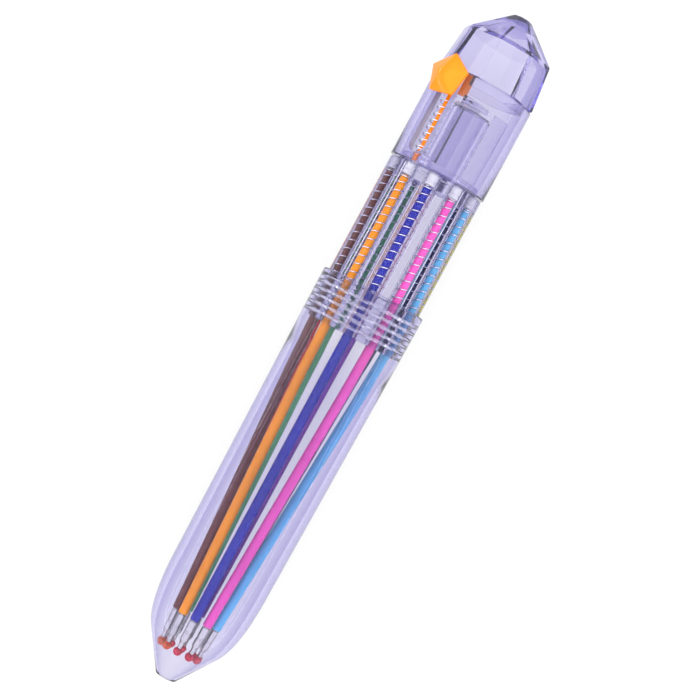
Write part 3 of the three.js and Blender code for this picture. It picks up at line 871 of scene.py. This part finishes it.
def build_carrier():
    shell = bpy.context.scene.pen_shell
    edge = shell.edge / MM * 0.6
    outline = rounded([
        (CARRIER_ROOF, 0.0), (CARRIER_ROOF, CARRIER_CORE), (CARRIER_LOW, CARRIER_CORE),
        (CARRIER_LOW, CARRIER_ROOT), (CARRIER_LOW + 0.4, CARRIER_ROOT),
    ], edge, closed=False)[:-1]
    outline += rows_between(CARRIER_LOW + 0.3, THREAD_END + 0.4, CARRIER_ROOT)
    groove_low, groove_high = CLIP_LOW - CLIP_PLAY, CLIP_HIGH + CLIP_PLAY
    outline += rounded([
        (THREAD_END + 0.5, CARRIER_ROOT), (THREAD_END + 0.8, CARRIER_RADIUS),
        (CARRIER_HIGH, CARRIER_RADIUS), (CARRIER_HIGH, SPINDLE), (groove_low, SPINDLE),
        (groove_low, SPINDLE_GROOVE), (groove_high, SPINDLE_GROOVE), (groove_high, SPINDLE),
        (SPINDLE_END, SPINDLE), (SPINDLE_END, 0.0),
    ], edge, closed=False)
    obj = put("clear_carrier", lathe(outline, shell.facets))
    mark_thread_zone(obj, CARRIER_LOW + 0.2, THREAD_END + 0.45, CARRIER_ROOT)
    thread(obj, shell.thread_depth, 0.0)
    carve(obj, channel_cutters())
    finish_surface(obj, once(bpy.data.materials, "clear_inner", inner_plastic))
    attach(obj, "root")
    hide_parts("refill_carrier")
    ring = rounded(washer(CLIP_LOW, CLIP_HIGH, CLIP_BORE, CLIP_RADIUS), SMALL_EDGE)
    clip = put("spindle_ring", lathe(ring, CLIP_FACETS))
    gap = block((CLIP_LOW - OVERCUT, CLIP_HIGH + OVERCUT), (-CLIP_GAP, CLIP_GAP),
                (0.0, CLIP_RADIUS + OVERCUT))
    carve(clip, gap.turned(CLIP_GAP_ANGLE))
    finish_surface(clip, once(bpy.data.materials, "white_plug", white_plastic))
    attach(clip, "root")
    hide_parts("spindle_clip")


def frost_walls(obj, angle, half, stations):
    """Give the frosted material, with its painted edge shade, to the faces that stand upright in a
    slot.
    """
    mesh = obj.data
    mesh.materials.append(once(bpy.data.materials, "frosted_wall_painted_shade", frosted_plastic))
    middle = (at(0, 1, angle) - at(0, 0)).normalized()
    side = Vector((1, 0, 0)).cross(middle)
    low, high = (NOSE_X + station * MM for station in stations)
    for face in mesh.polygons:
        away = face.center - Vector((0, 0, AXIS_Z))
        near = abs(away.dot(side)) < half * MM and away.dot(middle) > 0
        if near and low < face.center.x < high and abs(face.normal.dot(middle)) < 0.3:
            face.material_index = 1


def build_sleeve():
    shell = bpy.context.scene.pen_shell
    ring = washer(FLOOR_LOW, SLEEVE_END, SLEEVE_BORE, SLEEVE_RADIUS)
    obj = put("clear_sleeve", lathe(rounded(ring, shell.edge / MM), shell.facets))
    arc = [(FLOOR_HIGH + SLOT_HALF - SLOT_HALF * math.cos(t), SLOT_HALF * math.sin(t))
           for t in np.linspace(-0.5 * math.pi, 0.5 * math.pi, 17)]
    mouth = SLEEVE_END + OVERCUT
    slot = prism([(mouth, -SLOT_HALF), *arc, (mouth, SLOT_HALF)], 0.0, SLEEVE_RADIUS + 2)
    carve(obj, slot.turned(FIRST_ANGLE))
    finish_surface(obj, once(bpy.data.materials, "clear_cap", cap_plastic))
    frost_walls(obj, FIRST_ANGLE, SLOT_HALF + 0.1, (FLOOR_HIGH - 0.1, SLEEVE_END - 0.3))
    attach(obj, "cap")
    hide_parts("cap_sleeve")


def build_guide():
    outline = rounded([
        (FLOOR_LOW, HUB_BORE), (FLOOR_LOW, GUIDE_RADIUS), (FLOOR_HIGH, GUIDE_RADIUS),
        (FLOOR_HIGH, HUB_RADIUS), (HUB_END, HUB_RADIUS), (HUB_END, HUB_BORE),
    ], SMALL_EDGE)
    obj = put("clear_guide", lathe(outline, INNER_FACETS))
    outer = math.sqrt(GUIDE_RADIUS ** 2 - RIB_FAR ** 2)
    root = FLOOR_HIGH - 0.1
    for turn in (0, 180):
        for across in ((RIB_NEAR, RIB_FAR), (-RIB_FAR, -RIB_NEAR)):
            rib = block((root, RIB_END), across, (RIB_ROOT, outer))
            carve(obj, rib.turned(FIRST_ANGLE + turn), "UNION")
    boss = rod(root, BOSS_HIGH, BOSS_RADIUS, HOLE_FACETS).moved(z=BOSS_CIRCLE)
    carve(obj, boss.turned(FIRST_ANGLE), "UNION")
    carve(obj, rod(FLOOR_LOW - OVERCUT, HUB_END + OVERCUT, HUB_BORE, INNER_FACETS))
    carve(obj, rod(HUB_END, RIB_END + OVERCUT, CLIP_RADIUS + 0.3, CLIP_FACETS))
    hole = rod(FLOOR_LOW - OVERCUT, BOSS_HIGH + OVERCUT, ROD_HOLE, SMALL_FACETS)
    carve(obj, hole.moved(z=REFILL_CIRCLE).turned(FIRST_ANGLE))
    finish_surface(obj, once(bpy.data.materials, "clear_inner", inner_plastic), 30.0)
    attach(obj, "cap")
    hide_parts("slider_guide")


def build_crown():
    base, shoulder, top = CROWN_RADII
    body = lathe([(CROWN_LOW, 0.0), (CROWN_LOW, base), (CROWN_SHOULDER, shoulder),
                  (CROWN_END, top), (CROWN_END, 0.0)], CROWN_SIDES)
    obj = put("clear_crown", body.turned(CROWN_TURN))
    flats = obj.modifiers.new("Flats", "DECIMATE")
    flats.decimate_type = "DISSOLVE"
    flats.angle_limit = math.radians(2.0)
    settle(obj)
    soften(obj, bpy.context.scene.pen_shell.edge, 3, 15.0)
    inside = CROWN_LOW + 1
    skirt = washer(CROWN_LOW - SKIRT_DEPTH, inside, SKIRT_BORE, SKIRT_RADIUS)
    carve(obj, lathe(rounded(skirt, SMALL_EDGE), INNER_FACETS), "UNION")
    foot = CROWN_LOW - SKIRT_DEPTH - OVERCUT
    carve(obj, rod(foot, inside, SKIRT_BORE, INNER_FACETS))
    cavity = lathe([
        (CROWN_LOW + 0.2, 0.0), (CROWN_LOW + 0.2, base - CROWN_WALL),
        (CROWN_SHOULDER - 0.6, shoulder - CROWN_WALL), (CROWN_ROOF, CROWN_ROOF_RADIUS),
        (CROWN_ROOF, 0.0),
    ], CROWN_SIDES)
    carve(obj, cavity.turned(CROWN_TURN))
    half = BLOCK_HALF + 0.3
    passage = block((foot, CROWN_LOW), (-half, half), (RIB_ROOT, SLEEVE_RADIUS))
    carve(obj, passage.turned(FIRST_ANGLE))
    finish_surface(obj, once(bpy.data.materials, "clear_cap", cap_plastic), 24.0)
    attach(obj, "cap")
    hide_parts("crown")


def gem_shape():
    """A five-sided gem with a girdle, bevelled facets and a small table."""
    levels = [(0.0, GEM_RADIUS - GEM_CHAMFER), (GEM_CHAMFER, GEM_RADIUS),
              (GEM_GIRDLE, GEM_RADIUS), (GEM_HEIGHT, GEM_TABLE)]
    verts, faces = [], []
    for height, radius in levels:
        for k in range(GEM_SIDES):
            turn = math.radians(GEM_TURN + 360 / GEM_SIDES * k)
            verts.append((GEM_CENTRE + radius * math.cos(turn), radius * math.sin(turn),
                          GEM_LOW + height))
    for row in range(0, GEM_SIDES * (len(levels) - 1), GEM_SIDES):
        for k in range(GEM_SIDES):
            here, on = row + k, row + (k + 1) % GEM_SIDES
            faces.append((here, on, on + GEM_SIDES, here + GEM_SIDES))
    faces += [tuple(range(GEM_SIDES))[::-1], tuple(range(len(verts) - GEM_SIDES, len(verts)))]
    return Shape(verts, faces).outward()


def build_slider():
    obj = put("orange_slider", gem_shape(), FIRST_ANGLE)
    soften(obj, bpy.context.scene.pen_slider.gem_edge, 3, 20.0)
    neck = block((BLOCK_HIGH - 3, BLOCK_HIGH), (-NECK_HALF, NECK_HALF),
                 (BLOCK_OUTER - 0.2, GEM_LOW + 0.2))
    carve(obj, neck.turned(FIRST_ANGLE), "UNION")
    inner = put("cutter", block((BLOCK_LOW, BLOCK_HIGH), (-BLOCK_HALF, BLOCK_HALF),
                                (BLOCK_OUTER - BLOCK_DEPTH, BLOCK_OUTER)), FIRST_ANGLE)
    soften(inner, SMALL_EDGE * MM, 2, 40.0)
    carve(obj, inner, "UNION")
    rod_outline = washer(FLOOR_LOW + 0.1, BLOCK_LOW + 0.5, 0.0, ROD_RADIUS)
    push_rod = lathe(rounded(rod_outline, SMALL_EDGE, closed=False), THIN_FACETS)
    carve(obj, push_rod.moved(z=REFILL_CIRCLE).turned(FIRST_ANGLE), "UNION")
    finish_surface(obj, once(bpy.data.materials, "amber_gem", gem_plastic), 24.0)
    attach(obj, "slider")
    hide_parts("slider")


def refill_shapes():
    """A refill's four parts at angle 0: its plug, tube, tip and bead of wax."""
    band = PLUG_RADIUS - 0.12
    plug = rounded([
        (PLUG_LOW - PEG_LENGTH, 0.0), (PLUG_LOW - PEG_LENGTH, PEG_RADIUS),
        (PLUG_LOW, PEG_RADIUS), (PLUG_LOW, PLUG_RADIUS), (PLUG_LOW + 0.5, PLUG_RADIUS),
        (PLUG_LOW + 0.62, band), (PLUG_LOW + 0.9, band), (PLUG_LOW + 1.02, PLUG_RADIUS),
        (PLUG_HIGH - 0.45, PLUG_RADIUS), (PLUG_HIGH, PLUG_RADIUS - 0.45), (PLUG_HIGH, 0.0),
    ], 0.1, closed=False)
    bore_high, bore_low = TUBE_HIGH - PEG_LENGTH - 0.3, TUBE_LOW + PEG_LENGTH + 0.3
    depths = (0.0, 0.07, 0.07, 0.02, 0.02)
    tube = [
        (bore_high, 0.0), (bore_high, TUBE_BORE), (TUBE_HIGH, TUBE_BORE),
        (TUBE_HIGH, TUBE_RADIUS - 0.08), (TUBE_HIGH - 0.08, TUBE_RADIUS),
        *[(u, TUBE_RADIUS) for u in np.linspace(TUBE_HIGH - 0.4, TUBE_ROWS_END, TUBE_ROWS)],
        *[(u, TUBE_RADIUS - depth) for u, depth in zip(CRIMP, depths)],
        (TUBE_LOW + 0.1, TUBE_RADIUS - 0.04), (TUBE_LOW, TUBE_RADIUS - 0.12),
        (TUBE_LOW, TUBE_BORE), (bore_low, TUBE_BORE), (bore_low, 0.0),
    ]
    shoulder, nick = TIP_LOW + TIP_LENGTH, TIP_RADIUS - 0.09
    tip = rounded([
        (TIP_LOW, 0.0), (TIP_LOW, 0.36), (TIP_LOW + 0.3, 0.5), (TIP_LOW + 1.5, 0.5),
        (TIP_LOW + 2.1, TIP_RADIUS), (TIP_LOW + 3.6, TIP_RADIUS), (TIP_LOW + 3.68, nick),
        (TIP_LOW + 3.95, nick), (TIP_LOW + 4.03, TIP_RADIUS), (shoulder, TIP_RADIUS),
        (shoulder, PEG_RADIUS), (shoulder + PEG_LENGTH, PEG_RADIUS),
        (shoulder + PEG_LENGTH, 0.0),
    ], 0.05, closed=False)
    bead = [(BEAD_CENTRE - BEAD_RADIUS * math.cos(t),
             BEAD_RADIUS * (1 + 0.04 * math.cos(3 * t)) * math.sin(t))
            for t in np.linspace(0, math.pi * 0.82, 20)]
    bead[0] = (bead[0][0], 0.0)
    seat = BEAD_CENTRE + 0.15
    bead += [(seat + 0.25, 0.6), (seat, 0.55), (seat, 0.0)]
    return (lathe(plug, SMALL_FACETS).moved(z=REFILL_CIRCLE),
            lathe(tube, THIN_FACETS, refill_line), lathe(tip, SMALL_FACETS, refill_line),
            lathe(bead, THIN_FACETS, refill_line))


def build_refills():
    plug_shape, tube_shape, tip_shape, bead_shape = refill_shapes()
    metal = bright_metal("turned_nickel", (0.44, 0.43, 0.44), 4000.0, 0.12, 0.25, 0.08)
    red = wax("wax_red", bpy.context.scene.pen_refills.wax)
    orange_red = wax("wax_orange", (0.90, 0.12, 0.01))
    orange_beads = {n["node"] for n in frame["record"]["subparts"]
                    if n.get("material_slot") == "bead_orange"}
    plugs = once(bpy.data.materials, "white_plug", white_plastic)
    for i, (name, rgb) in enumerate(INKS.items()):
        angle = FIRST_ANGLE + STEP_ANGLE * i
        refill, tip = f"refill_{name}", f"tip_{name}"
        top = put(f"refill_plug_{name}", plug_shape, angle)
        finish_surface(top, plugs)
        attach(top, refill)
        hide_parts(f"plug_{name}")
        stem = put(f"refill_tube_{name}", tube_shape, angle)
        finish_surface(stem, ink(name, rgb))
        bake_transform(stem)
        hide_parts(f"tube_{name}")
        point = put(f"refill_tip_{name}", tip_shape, angle)
        finish_surface(point, metal, 30.0)
        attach(point, tip)
        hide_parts(f"tip_{name}")
        seal = put(f"wax_bead_{name}", bead_shape, angle)
        is_orange = f"bead_{name}" in orange_beads
        finish_surface(seal, orange_red if is_orange else red, 60.0)
        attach(seal, tip)
        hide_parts(f"bead_{name}")


def coil(name, low, high, angle, turns, metal):
    """One spring on the refill circle between two stations."""
    settings = bpy.context.scene.pen_refills
    obj = put(name, Shape([(0.0, 0.0, 0.0)], []))
    grow(obj, once(bpy.data.node_groups, "Coil spring", spring_tree), {
        "Start": at(low, REFILL_CIRCLE, angle), "Length": (high - low) * MM,
        "Turns": float(turns), "Coil Radius": settings.coil, "Wire Radius": settings.wire,
        "First Angle": math.radians(-angle),
    })
    return finish_surface(obj, metal, 70.0)


def build_springs():
    metal = bright_metal("spring_steel", (0.78, 0.78, 0.81), 30000.0, 0.1, 0.22, 0.05)
    turns = bpy.context.scene.pen_refills.refill_turns
    low, high = SPRING_SEAT + COIL_PLAY, PLUG_LOW - COIL_PLAY
    for i, name in enumerate(INKS):
        angle = FIRST_ANGLE + STEP_ANGLE * i
        wire = coil(f"refill_spring_{name}", low, high, angle, turns, metal)
        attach(wire, "root")
        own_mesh(wire)
        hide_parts(f"spring_{name}")
    low, high = BOSS_HIGH + COIL_PLAY, BLOCK_LOW - 0.25
    turns = bpy.context.scene.pen_slider.slider_turns
    wire = coil("slider_return_spring", low, high, FIRST_ANGLE, turns, metal)
    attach(wire, "cap")
    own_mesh(wire)
    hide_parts("slider_spring")


# --- stage ----------------------------------------------------------------------------
ROLL = math.radians(28.535)  # how far the pen leans in the camera's view
IMAGE_SCALE, IMAGE_WIDTH = 4.9885, 700  # the image's steps in a millimetre, and across it
OFF_CENTRE = (-5.95, 1.95)  # the view's middle from the pen's, in those steps
FLOOR_HALF, FLOOR_DROP = 2.0, 0.00005  # from here on in metres
STRIP_SIDE, STRIP_HEIGHT, STRIP_SIZE = 0.24, 0.035, (0.5, 0.012)


def area_light(name, place, target, size, power):
    lamp = bpy.data.lights.new(name, "AREA")
    lamp.shape = "RECTANGLE"
    lamp.size, lamp.size_y = size
    lamp.energy = power
    obj = bpy.data.objects.new(name, lamp)
    bpy.context.scene.collection.objects.link(obj)
    away = (Vector(place) - Vector(target)).normalized()
    along = Vector((1.0, 0.0, 0.0))
    across = away.cross(along).normalized()
    obj.matrix_world = Matrix((along, across, away)).transposed().to_4x4()
    obj.location = place


def build_stage():
    scene = bpy.context.scene
    studio = scene.pen_studio
    mesh = bpy.data.meshes.new("floor")
    half = FLOOR_HALF
    corners = [(x, y, -FLOOR_DROP) for x, y in
               ((-half, -half), (half, -half), (half, half), (-half, half))]
    mesh.from_pydata(corners, [], [(0, 1, 2, 3)])
    floor = bpy.data.objects.new("floor", mesh)
    scene.collection.objects.link(floor)
    mesh.materials.append(floor_material())

    world = bpy.data.worlds.new("white_room")
    world.use_nodes = True
    tree = world.node_tree
    tree.nodes.clear()
    direction = node(tree, "ShaderNodeTexCoord").outputs["Generated"]
    height = node(tree, "ShaderNodeSeparateXYZ", {0: direction}).outputs["Z"]
    ramp = node(tree, "ShaderNodeValToRGB", {"Fac": height})
    horizon, zenith = ramp.color_ramp.elements
    horizon.position, horizon.color = 0.05, (0.36, 0.36, 0.39, 1.0)
    zenith.position, zenith.color = 0.45, (1.0, 1.0, 1.0, 1.0)
    sky = node(tree, "ShaderNodeBackground", {
        "Color": ramp.outputs["Color"], "Strength": studio.sky,
    })
    node(tree, "ShaderNodeOutputWorld", {"Surface": sky.outputs[0]})
    scene.world = world

    middle = at(PEN_LENGTH / 2)
    for side in (-1, 1):
        area_light(f"strip_{side + 1}", (middle.x, side * STRIP_SIDE, STRIP_HEIGHT), middle,
                   STRIP_SIZE, studio.strip)

    camera = bpy.data.cameras.new("camera")
    camera.sensor_width = 36.0
    camera.lens = camera.sensor_width * studio.distance * IMAGE_SCALE / (IMAGE_WIDTH * MM)
    camera.clip_start, camera.clip_end = 0.01, 10.0
    eye = bpy.data.objects.new("camera", camera)
    scene.collection.objects.link(eye)
    up = Vector((math.cos(ROLL), math.sin(ROLL), 0.0))
    right = Vector((math.sin(ROLL), -math.cos(ROLL), 0.0))
    shift = (right * OFF_CENTRE[0] + up * OFF_CENTRE[1]) * (MM / IMAGE_SCALE)
    eye.matrix_world = Matrix((right, up, Vector((0, 0, 1)))).transposed().to_4x4()
    eye.location = middle - shift + Vector((0.0, 0.0, studio.distance))
    scene.camera = eye
    scene.view_settings.view_transform = "Standard"
    scene.cycles.max_bounces = 40
    scene.cycles.transmission_bounces = 36
    scene.cycles.transparent_max_bounces = 36


# --- operators and panel --------------------------------------------------------------
class PEN_OT_barrel(bpy.types.Operator):
    """Build the clear barrel with its bullet nose and inner thread"""
    bl_idname = "pen.barrel"
    bl_label = "Barrel"

    def execute(self, context):
        build_barrel()
        return {"FINISHED"}


class PEN_OT_carrier(bpy.types.Operator):
    """Build the ten-channel refill carrier and the ring on its spindle"""
    bl_idname = "pen.carrier"
    bl_label = "Refill Carrier"

    def execute(self, context):
        build_carrier()
        return {"FINISHED"}


class PEN_OT_cap(bpy.types.Operator):
    """Build the cap: its sleeve, the guide inside and the faceted crown"""
    bl_idname = "pen.cap"
    bl_label = "Cap"

    def execute(self, context):
        build_sleeve()
        build_guide()
        build_crown()
        return {"FINISHED"}


class PEN_OT_slider(bpy.types.Operator):
    """Build the orange slider with its gem button"""
    bl_idname = "pen.slider"
    bl_label = "Slider"

    def execute(self, context):
        build_slider()
        return {"FINISHED"}


class PEN_OT_refills(bpy.types.Operator):
    """Build the ten refills: plugs, ink tubes, tips and wax beads"""
    bl_idname = "pen.refills"
    bl_label = "Refills"

    def execute(self, context):
        build_refills()
        return {"FINISHED"}


class PEN_OT_springs(bpy.types.Operator):
    """Build the refills' springs and the slider's"""
    bl_idname = "pen.springs"
    bl_label = "Springs"

    def execute(self, context):
        build_springs()
        return {"FINISHED"}


class PEN_OT_stage(bpy.types.Operator):
    """Build the floor, the lights and the camera"""
    bl_idname = "pen.stage"
    bl_label = "Stage"

    def execute(self, context):
        build_stage()
        return {"FINISHED"}


PIECE_OPERATORS = (PEN_OT_barrel, PEN_OT_carrier, PEN_OT_cap, PEN_OT_slider, PEN_OT_refills,
                   PEN_OT_springs, PEN_OT_stage)
SETTINGS = {
    "pen_shell": PenShellSettings,
    "pen_slider": PenSliderSettings,
    "pen_refills": PenRefillSettings,
    "pen_studio": PenStudioSettings,
}


class PEN_PT_panel(bpy.types.Panel):
    """Settings and build steps of the pen"""
    bl_idname = "PEN_PT_panel"
    bl_label = "Selector Pen"
    bl_space_type = "VIEW_3D"
    bl_region_type = "UI"
    bl_category = "Pen"

    def draw(self, context):
        for operator in PIECE_OPERATORS:
            self.layout.operator(operator.bl_idname)
        for name, kind in SETTINGS.items():
            box = self.layout.box()
            for setting in kind.__annotations__:
                box.prop(getattr(context.scene, name), setting)


CLASSES = (*SETTINGS.values(), *PIECE_OPERATORS, PEN_PT_panel)


def register():
    for kind in CLASSES:
        bpy.utils.register_class(kind)
    for name, kind in SETTINGS.items():
        setattr(bpy.types.Scene, name, PointerProperty(type=kind))


def unregister():
    for name in SETTINGS:
        delattr(bpy.types.Scene, name)
    for kind in reversed(CLASSES):
        bpy.utils.unregister_class(kind)


def main():
    register()
    bpy.ops.pen.barrel()
    bpy.ops.pen.carrier()
    bpy.ops.pen.cap()
    bpy.ops.pen.slider()
    bpy.ops.pen.refills()
    bpy.ops.pen.springs()
    bpy.ops.pen.stage()


if __name__ == "__main__":
    main()
